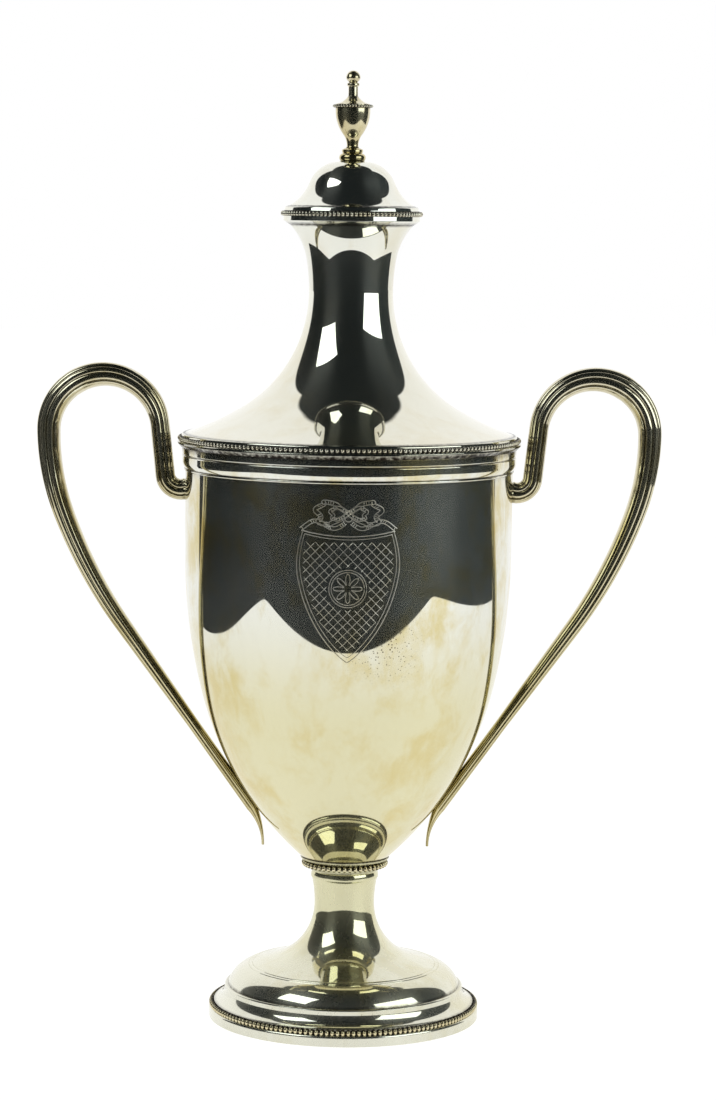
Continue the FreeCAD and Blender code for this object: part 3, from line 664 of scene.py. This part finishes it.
def ribbonCuts(line, half):
    # the two edges of a ribbon, and short strokes across it that shade one stretch in two
    s = engravingSettings
    edges = offsetLine(line, half), offsetLine(line, -half)
    cuts = [cutPart(edge, s["cutWidth"] * 0.75) for edge in edges]
    along = runLengths(line)
    strokes = np.arange(along[0] + 0.6, along[-1] - 0.6, s["hatch"])
    for at in strokes[(strokes // s["hatchRun"]) % 2 == 0]:
        share = [np.array([at * runLengths(edge)[-1] / along[-1]]) for edge in edges]
        first, last = [pointsAt(edge, length)[0] for edge, length in zip(edges, share)]
        cuts.append(cutPart(np.linspace(first, last, 4), s["cutWidth"] * 0.6))
    return cuts


def makeEngraving(s):
    # a double-edged shield filled with a slanted lattice, a flower of |cos| petals in a round
    # medallion, and a bow above with two waving tails
    cuts = [cutPart(shieldLine(0.0), s["cutWidth"]), cutPart(shieldLine(s["border"]), s["cutWidth"] * 0.7)]
    around = np.linspace(0, 2 * math.pi, 73)
    circle = np.stack([np.cos(around), np.sin(around)], 1)
    middle = np.array([0.0, s["medallionUp"]])
    for radius in (s["medallion"], s["medallion"] - s["medallionRim"]):
        cuts.append(cutPart(middle + radius * circle, s["cutWidth"] * 0.8))
    petal = s["petalReach"] * np.abs(np.cos(s["petals"] / 2 * around)) + s["petalRoot"]
    cuts.append(cutPart(middle + petal[:, None] * circle, s["cutWidth"] * 0.8))
    reach = np.arange(-60, 60, 0.8)
    for slant in (-1, 1):
        for offset in np.arange(-70, 70, s["latticeStep"]):
            up = s["medallionUp"] + slant * reach + offset * s["latticeLean"]
            line = np.stack([reach, up], axis=1)
            inShield = np.abs(reach) < shieldHalf(up, s["border"] + s["latticeGap"])
            belowTop = up < s["top"] - s["border"] - s["latticeTop"]
            clear = np.hypot(*(line - middle).T) > s["medallion"] + s["medallionGap"]
            cuts += [cutPart(run, s["latticeCut"]) for run in keptRuns(line, inShield & belowTop & clear)]
    for side in (-1, 1):
        cuts += ribbonCuts(bowLoop(side, 1.0), s["ribbon"])
        cuts += ribbonCuts(bowLoop(side, s["innerLoop"]), s["ribbon"] * 0.7)
        run = np.linspace(s["tailFrom"], s["tailHalf"], 70)
        out = run - s["tailFrom"]
        wave = s["bowUp"] - s["tailDrop"] - s["tailWave"] * np.sin(out / s["tailPitch"]) - out * s["tailSlope"]
        cuts += ribbonCuts(np.stack([side * run, wave], 1), s["ribbon"] * 0.9)
    cuts.append(cutPart(np.array([0.0, s["bowUp"]]) + np.array(s["knot"]) * circle, s["cutWidth"]))
    makePiece("frontEngraving", cuts, silverCuts, "cup", "silver")


makeEngraving(engravingSettings)
print("engraving made")


handleSettings = {
    "bend": (88.4, 288.9, 8.2, -121.0), "lean": 6.5, "crown": (128.6, 311.7, 29.3),
    "sweeps": [(125.0, 20.0), (250.0, 15.5)], "straight": 119.0, "tailDrop": 20.8, "tailReach": 6.2,
    # (share of the length, thickness, width) of the strap
    "sections": [(0.0, 11.4, 12.4), (0.035, 10.6, 12.2), (0.09, 9.6, 12.4), (0.28, 13.4, 14.0),
                 (0.42, 11.8, 13.2), (0.85, 6.1, 8.8), (1.0, 6.1, 8.8)],
    "tailSection": (1.5, 3.0), "step": 1.2,
    "reedEdges": (0.0, 46.0, 82.0, 116.0), "reedDepth": 0.15, "squareness": 0.84,
    "seamPlace": 0.275, "seamDepth": 0.02, "seamSpread": 0.7, "grooveTarnish": 0.5, "plainTarnish": 0.12,
    "jointTarnish": 0.8, "jointSpread": 1.3,
}


def pathRun(centre, radius, first, last):
    # points round an arc and the way the strap heads there: centre + radius (cos, sin)
    count = max(6, int(radius * math.radians(abs(last - first)) / handleSettings["step"]))
    angles = np.radians(np.linspace(first, last, count))
    turn = 1 if last > first else -1
    circle = np.stack([np.cos(angles), np.sin(angles)], axis=1)
    return centre + radius * circle, turn * np.stack([-circle[:, 1], circle[:, 0]], axis=1)


def handlePath(s):
    # round the bend, up the leg, over the crown, down the sweeps and the straight, and out to the tail
    bend, crown = s["bend"], s["crown"]
    runs = [pathRun(np.array(bend[:2]), bend[2], bend[3], -s["lean"]),
            pathRun(np.array(crown[:2]), crown[2], 180 - s["lean"], 0.0)]
    turned = 0.0
    for radius, turn in s["sweeps"]:
        start = math.radians(turned)
        centre = runs[-1][0][-1] - radius * np.array([math.cos(start), -math.sin(start)])
        points, heading = pathRun(centre, radius, -turned, -turned - turn)
        runs.append((points[1:], heading[1:]))
        turned += turn
    end, heading = runs[-1][0][-1], runs[-1][1][-1]
    run = np.linspace(0, s["straight"], int(s["straight"] / s["step"]))[1:, None]
    runs.append((end + run * heading, np.broadcast_to(heading, (len(run), 2))))
    bodyCount = sum(len(points) for points, _ in runs)
    end = runs[-1][0][-1]
    part = np.linspace(0, 1, 20)[1:]
    tail = end + np.stack([-s["tailReach"] * part * (2 - part), -s["tailDrop"] * part], axis=1)
    slope = np.stack([-2 * s["tailReach"] * (1 - part) / s["tailDrop"], -np.ones_like(part)], axis=1)
    runs.append((tail, slope / np.hypot(*slope.T)[:, None]))
    return np.concatenate([p for p, _ in runs]), np.concatenate([h for _, h in runs]), bodyCount


def sectionSizes(s, points, bodyCount):
    # thickness and width along the strap, easing between the driving sections, then out to the leaf
    along = runLengths(points)
    part = along / along[bodyCount - 1]
    places, thick, wide = np.array(s["sections"]).T
    thickness, width = np.interp(part, places, thick), np.interp(part, places, wide)
    tail = np.clip((along - along[bodyCount - 1]) / (along[-1] - along[bodyCount - 1]), 0, 1)
    thickness = thickness + (s["tailSection"][0] - thickness) * tail * (2 - tail)
    width = width + (s["tailSection"][1] - width) * tail
    return along, thickness, width, tail


def reedAngles(s):
    # angles round the section, closer together towards each groove, for one side
    edges = np.radians(s["reedEdges"])
    ease = (1 - np.cos(np.linspace(0, math.pi, 10))) / 2
    reeds = [low + (high - low) * ease[:-1] for low, high in zip(edges, edges[1:])]
    plain = np.linspace(edges[-1], math.pi, 12)
    return np.concatenate(reeds + [plain])


def strapPart(s):
    # a D-shaped section carried along the path. Its outer part is drawn in at each groove by
    # reedDepth * (1 - sqrt(1 - (2t - 1)^2)), where t runs from 0 to 1 across a reed.
    points, heading, bodyCount = handlePath(s)
    along, thickness, width, tail = sectionSizes(s, points, bodyCount)
    half = reedAngles(s)
    around = np.concatenate([half, -half[-2:0:-1]])
    edges = np.radians(s["reedEdges"])
    reed = np.clip(np.searchsorted(edges, np.abs(around), side="right") - 1, 0, len(edges) - 2)
    t = (np.abs(around) - edges[reed]) / (edges[reed + 1] - edges[reed])
    onReed = np.abs(around) < edges[-1] + 1e-9
    bulge = np.sqrt(np.clip(1 - (2 * np.clip(t, 0, 1) - 1) ** 2, 0, 1))
    drawn = np.where(onReed, 1 - bulge, 0.0)
    depth = s["reedDepth"] * (1 - 0.7 * tail)[:, None] * drawn
    fromSeam = (along / along[-1] - s["seamPlace"]) * along[-1]
    seam = s["seamDepth"] * np.exp(-(fromSeam / s["seamSpread"]) ** 2)[:, None]
    scale = 1 - depth - seam
    power = s["squareness"]
    outward = np.sign(np.cos(around)) * np.abs(np.cos(around)) ** power
    sideways = np.sign(np.sin(around)) * np.abs(np.sin(around)) ** power
    out = scale * thickness[:, None] / 2 * outward
    side = scale * width[:, None] / 2 * sideways
    normal = np.stack([-heading[:, 1], heading[:, 0]], axis=1)
    x = points[:, :1] + out * normal[:, :1]
    z = points[:, 1:] + out * normal[:, 1:]
    grid = np.stack([x, side, z], axis=-1)
    # both ends are filed to the round of the bowl: nothing stands inside the middle of its wall
    reach, angles = np.hypot(grid[..., 0], grid[..., 1]), np.arctan2(grid[..., 1], grid[..., 0])
    wall = bowlReach(angles, grid[..., 2]) - bowlSettings["wall"] / 2
    nearBowl = (grid[..., 2] > bowlBase + 4) & (reach < wall)
    grow = np.where(nearBowl, wall / np.maximum(reach, 1e-6), 1.0)
    grid[..., 0] *= grow
    grid[..., 1] *= grow
    rows, columns = grid.shape[:2]
    flat = grid.reshape(-1, 3)
    ends = np.stack([grid[0].mean(0), grid[-1].mean(0)])
    first, lastRow, here = rows * columns, (rows - 1) * columns, np.arange(columns)
    beyond = (here + 1) % columns
    faces = [gridFaces(rows, columns, False, True),
             np.stack([np.full(columns, first), beyond, here], axis=1),
             np.stack([np.full(columns, first + 1), lastRow + here, lastRow + beyond], axis=1)]
    groove = np.where(onReed, np.exp(-((1 - drawn) / s["grooveTarnish"]) ** 2), s["plainTarnish"])
    tarnish = np.broadcast_to(groove, (rows, columns)).reshape(-1)
    joint = np.exp(-(np.maximum(reach - wall, 0).reshape(-1) / s["jointSpread"]) ** 2)
    tarnish = np.maximum(tarnish, s["jointTarnish"] * joint)
    return np.concatenate([flat, ends]), faces, np.concatenate([tarnish, [0.0, 0.0]])


def makeHandles(s):
    # one strap, and the same with x turned to -x
    points, faces, tarnish = strapPart(s)
    flipped = [block[:, ::-1] for block in faces]
    mirrored = points * np.array([-1.0, 1.0, 1.0])
    makePiece("handleRight", [(points, flipped, tarnish)], silverStrap, "cup", "silver_handle", "handle_right")
    makePiece("handleLeft", [(mirrored, faces, tarnish)], silverStrap, "cup", "silver_handle", "handle_left")


makeHandles(handleSettings)
print("handles made")


coverSettings = {
    "rim": [(83.4, 0), (88.4, 0), (90.25, 1.9), (90.25, 2.6), (89.6, 3.4), (88.1, 3.4), (88.1, 6.0),
            (86.9, 7.0, 1.2, 1), (82.4, 7.0), (82.4, 5.8), (86.9, 5.8), (86.9, 1.2), (83.4, 1.2)],
    "bezel": [(83.5, 0), (84.5, 0), (84.5, 9.0), (83.5, 9.0)],
    "shell": [(86.2, 0), (55.8, 14.1, 140.4, -1), (22.1, 74.7, 71.3, -1), (23.44, 91.0, 100.0, -1),
              (32.6, 109.4, 34.9, -1)],
    "wall": 1.0, "dents": 0.03, "beads": 211,
}


def makeCover(s):
    # the moulded seat, the ring that keeps it central, its beads, and the spun shell of even thickness
    makeTurned("coverRim", "cover_rim", outline(s["rim"]), silverCover, "cover")
    makeTurned("coverBezel", "cover_bezel", outline(s["bezel"]), silverCover, "cover")
    makeBeads("coverBeads", "cover_bead_wire", "cover", s["beads"])
    line = openLine(s["shell"])
    sheet = sheetOutline(line, s["wall"], 0.0, line[-1, 1])
    makeTurned("coverShell", "cover_shell", sheet, silverCover, "cover", s["dents"])


makeCover(coverSettings)
print("cover made")


capSettings = {
    "neckFascia": [(31, 0), (32.9, 0), (35.4, 1.6), (35.8, 1.9), (35.8, 4.4), (31, 4.4)],
    "capFascia": [(31, 0), (34.95, 0), (34.95, 2.3), (35.4, 2.6), (34.95, 4.3), (34.5, 4.8), (31, 4.8)],
    "dome": [(33.8, 0), (22.2, 12.8, 24.25, -1), (8.2, 23.4, 16.9, 1), (2.2, 23.4)],
    "wall": 1.0, "beads": 100, "beadTall": 1.25,
}
finialSettings = {
    "knop": [(0, 4.4), (2.1, 4.4), (2.1, 0), (5.9, 0), (5.0, 4.3, 2.35, 1), (5.5, 4.9), (5.5, 6.1),
             (4.0, 6.9), (0, 6.9)],
    "urn": [(0, 0), (3.5, 0), (3.0, 1.0), (5.1, 7.2, 9.0, -1), (9.1, 19.7, 21.0, 1), (9.1, 20.9), (0, 20.9)],
    "urnCover": [(0, 0), (8.95, 0), (8.95, 1.9), (2.5, 6.0, 9.5, -1), (2.5, 10.8), (3.2, 11.5), (3.2, 12.5),
                 (2.1, 13.1), (3.8, 15.4, 4.2, 1), (0, 19.2, 3.8, 1)],
    "beads": 40,
}


def makeCap(s):
    # two turned rings, the beads round them, and a small dome of even thickness
    makeTurned("neckFascia", "neck_fascia", outline(s["neckFascia"]), silverCover, "cover")
    makeTurned("capFascia", "cap_fascia", outline(s["capFascia"]), silverCover, "cover")
    makeBeads("capBeads", "cap_bead_wire", "cover", s["beads"], s["beadTall"])
    line = openLine(s["dome"])
    sheet = sheetOutline(line, s["wall"], 0.0, line[-1, 1])
    makeTurned("capDome", "cap_dome", sheet, silverCover, "cover")


def makeFinial(s):
    # three cast pieces and their beads; the fixing inside keeps its own mesh and only gets its metal
    for name, node, steps in (("finialKnop", "finial_knop", s["knop"]), ("finialUrn", "finial_urn", s["urn"]),
                              ("finialUrnCover", "finial_urn_cover", s["urnCover"])):
        makeTurned(name, node, outline(steps), silverCast, "cover", count=meshSettings["smallRound"])
    makeBeads("finialBeads", "finial_bead_wire", "cover", s["beads"])
    for node in ("finial_stud", "finial_washer", "finial_nut"):
        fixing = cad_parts[node].data
        fixing.materials.clear()
        fixing.materials.append(brassTurned)


makeCap(capSettings)
makeFinial(finialSettings)
print("cap and finial made")


studioSettings = {
    "floorHalf": 9000.0, "floorLevel": -0.3, "floorGlow": 0.95, "paper": "#8E8E8C",
    "roomDim": "#1F2324", "roomLit": "#2F3536", "sweepHalfAngle": 57.0, "sweepTop": 56.0, "sweepGlow": 1.1,
    # the near edge of the white table as the silver sees it, from back left round to back right
    "tableEdge": [(-785, 590), (-775, 440), (-775, 250), (-785, 60), (-815, -60), (-880, -210), (-955, -400),
                  (-1000, -600), (-860, -606), (-640, -590), (-420, -566), (-210, -546), (0, -540),
                  (210, -546), (420, -566), (640, -590), (860, -606), (1060, -612), (1100, -400),
                  (1110, 0), (1110, 700)],
    "roomLevel": 1.0, "roomReach": 14000.0, "edgePoints": 160, "edgeSmoothing": 6,
    "daylight": (0.93, 1.0, 1.0), "aimHeight": 230.0,
    # softboxes: bearing from the front, height angle, distance, width, height, watts
    "boxes": [(-58.0, 40.0, 1500.0, 860.0, 700.0, 4.6), (58.0, 19.0, 1500.0, 1200.0, 760.0, 6.6)],
}


def flatSheet(name, points, faces, up, material):
    # a level sheet of the studio, all of it at one height
    mesh = bpy.data.meshes.new(name)
    level = np.column_stack([points, np.full(len(points), up)]) / metre
    mesh.from_pydata(level.tolist(), [], faces)
    mesh.materials.append(material)
    sheet = addObject(name, mesh)
    return sheet


def roomColour(tree, s, across):
    # dim on the left and in front, lit from a window on the right
    lit = addNode(tree, "ShaderNodeMapRange", smooth, {
        "From Min": 0.20, "From Max": 0.93}, {"Value": across})
    return addNode(tree, "ShaderNodeMix", colours, {
        6: linear(s["roomDim"]), 7: linear(s["roomLit"])}, {0: lit.outputs["Result"]}).outputs[2]


def makeFloor(s):
    # white paper, lit from all round
    material = bpy.data.materials.new("whiteBackgroundPaper")
    material.use_nodes = True
    shader = material.node_tree.nodes["Principled BSDF"]
    shader.inputs["Base Color"].default_value = linear(s["paper"])
    shader.inputs["Roughness"].default_value = 0.9
    shader.inputs["Specular IOR Level"].default_value = 0.0
    shader.inputs["Emission Color"].default_value = (1.0, 1.0, 1.0, 1.0)
    shader.inputs["Emission Strength"].default_value = s["floorGlow"]
    half = s["floorHalf"]
    corners = [(-half, -half), (half, -half), (half, half), (-half, half)]
    # the glow is only ever found by a ray that reaches the paper, never sampled through what covers it
    material.cycles.emission_sampling = "NONE"
    flatSheet("floor", corners, [(0, 1, 2, 3)], s["floorLevel"], material)


def makeRoomFloor(s):
    # the dark room past the table's edge, which only the silver sees: each point of the smoothed
    # edge is joined to the point roomReach away on the same bearing
    material = bpy.data.materials.new("dimRoomFloor")
    tree = emptyTree(material)
    place = addNode(tree, "ShaderNodeTexCoord").outputs["Object"]
    flat = addNode(tree, "ShaderNodeVectorMath", {"operation": "NORMALIZE"}, links={0: place})
    parts = addNode(tree, "ShaderNodeSeparateXYZ", links={0: flat.outputs[0]})
    glow = addNode(tree, "ShaderNodeEmission", links={"Color": roomColour(tree, s, parts.outputs[0])})
    addNode(tree, "ShaderNodeOutputMaterial", links={"Surface": glow.outputs[0]})
    material.cycles.emission_sampling = "NONE"
    edge = np.array(s["tableEdge"], float)
    inner = pointsAt(edge, np.linspace(0, runLengths(edge)[-1], s["edgePoints"]))
    for _ in range(s["edgeSmoothing"]):
        inner[1:-1] = (inner[:-2] + inner[1:-1] * 2 + inner[2:]) / 4
    outer = inner * (s["roomReach"] / np.hypot(*inner.T))[:, None]
    faces = gridFaces(2, len(inner), False, False).tolist()
    sheet = flatSheet("roomFloor", np.concatenate([inner, outer]), faces, s["roomLevel"], material)
    sheet.visible_camera = False
    sheet.visible_diffuse = False
    sheet.visible_shadow = False


def makeRoom(s):
    # a white sweep behind the cup, a dim room in front of it; seen directly it is plain white
    world = bpy.data.worlds.new("studio")
    tree = emptyTree(world)
    way = addNode(tree, "ShaderNodeTexCoord").outputs["Generated"]
    parts = addNode(tree, "ShaderNodeSeparateXYZ", links={0: way})
    level = addNode(tree, "ShaderNodeCombineXYZ", links={0: parts.outputs[0], 1: parts.outputs[1]})
    unit = addNode(tree, "ShaderNodeVectorMath", {"operation": "NORMALIZE"}, links={0: level.outputs[0]})
    back = addNode(tree, "ShaderNodeSeparateXYZ", links={0: unit.outputs[0]})
    edge = math.cos(math.radians(s["sweepHalfAngle"]))
    behind = addNode(tree, "ShaderNodeMapRange", smooth, {
        "From Min": edge - 0.01, "From Max": edge + 0.03}, {"Value": back.outputs[1]})
    top = math.sin(math.radians(s["sweepTop"]))
    below = addNode(tree, "ShaderNodeMapRange", smooth, {
        "From Min": top - 0.012, "From Max": top + 0.012, "To Min": 1.0, "To Max": 0.0},
        {"Value": parts.outputs[2]})
    sweep = addNode(tree, "ShaderNodeMath", {"operation": "MULTIPLY"}, links={
        0: behind.outputs["Result"], 1: below.outputs["Result"]})
    bright = [s["sweepGlow"]] * 3 + [1.0]
    mixed = addNode(tree, "ShaderNodeMix", colours, {7: bright}, {
        0: sweep.outputs["Value"], 6: roomColour(tree, s, parts.outputs[0])})
    seen = addNode(tree, "ShaderNodeLightPath").outputs["Is Camera Ray"]
    final = addNode(tree, "ShaderNodeMix", colours, {7: (1.0, 1.0, 1.0, 1.0)}, {
        0: seen, 6: mixed.outputs[2]})
    sky = addNode(tree, "ShaderNodeBackground", links={"Color": final.outputs[2]})
    addNode(tree, "ShaderNodeOutputWorld", links={"Surface": sky.outputs[0]})
    bpy.context.scene.world = world


def makeSoftboxes(s):
    # each stands at a bearing and a height angle from the middle of the cup, and faces it
    middle = np.array([0.0, 0.0, s["aimHeight"]])
    for index, (bearing, rise, distance, width, height, watts) in enumerate(s["boxes"]):
        b, r = math.radians(bearing), math.radians(rise)
        way = np.array([math.sin(b) * math.cos(r), -math.cos(b) * math.cos(r), math.sin(r)])
        light = bpy.data.lights.new("softbox%d" % index, "AREA")
        light.shape = "RECTANGLE"
        light.size, light.size_y = width / metre, height / metre
        light.color = s["daylight"]
        light.energy = watts
        lamp = addObject("softbox%d" % index, light)
        lamp.location = (middle + way * distance) / metre
        lamp.rotation_euler = (math.pi / 2 - r, 0, b)
        lamp.visible_camera = False


cameraSettings = {
    "distance": 1747.6, "height": 434.8, "pitch": 6.05, "pan": 0.17, "roll": 0.65,
    "lens": 109.08, "sensor": 36.0,
}


def makeCamera(s):
    # in front of the cup, tipped down by pitch, turned right by pan and rolled about its own view
    lens = bpy.data.cameras.new("camera")
    lens.lens, lens.sensor_width = s["lens"], s["sensor"]
    camera = addObject("camera", lens)
    turn = (Matrix.Rotation(-math.radians(s["pan"]), 4, "Z")
            @ Matrix.Rotation(math.radians(90 - s["pitch"]), 4, "X")
            @ Matrix.Rotation(math.radians(s["roll"]), 4, "Z"))
    place = Matrix.Translation((0, -s["distance"] / metre, s["height"] / metre))
    camera.matrix_world = place @ turn
    bpy.context.scene.camera = camera


makeFloor(studioSettings)
makeRoomFloor(studioSettings)
makeRoom(studioSettings)
makeSoftboxes(studioSettings)
makeCamera(cameraSettings)
bpy.context.scene.view_settings.view_transform = "Standard"
print("studio made")
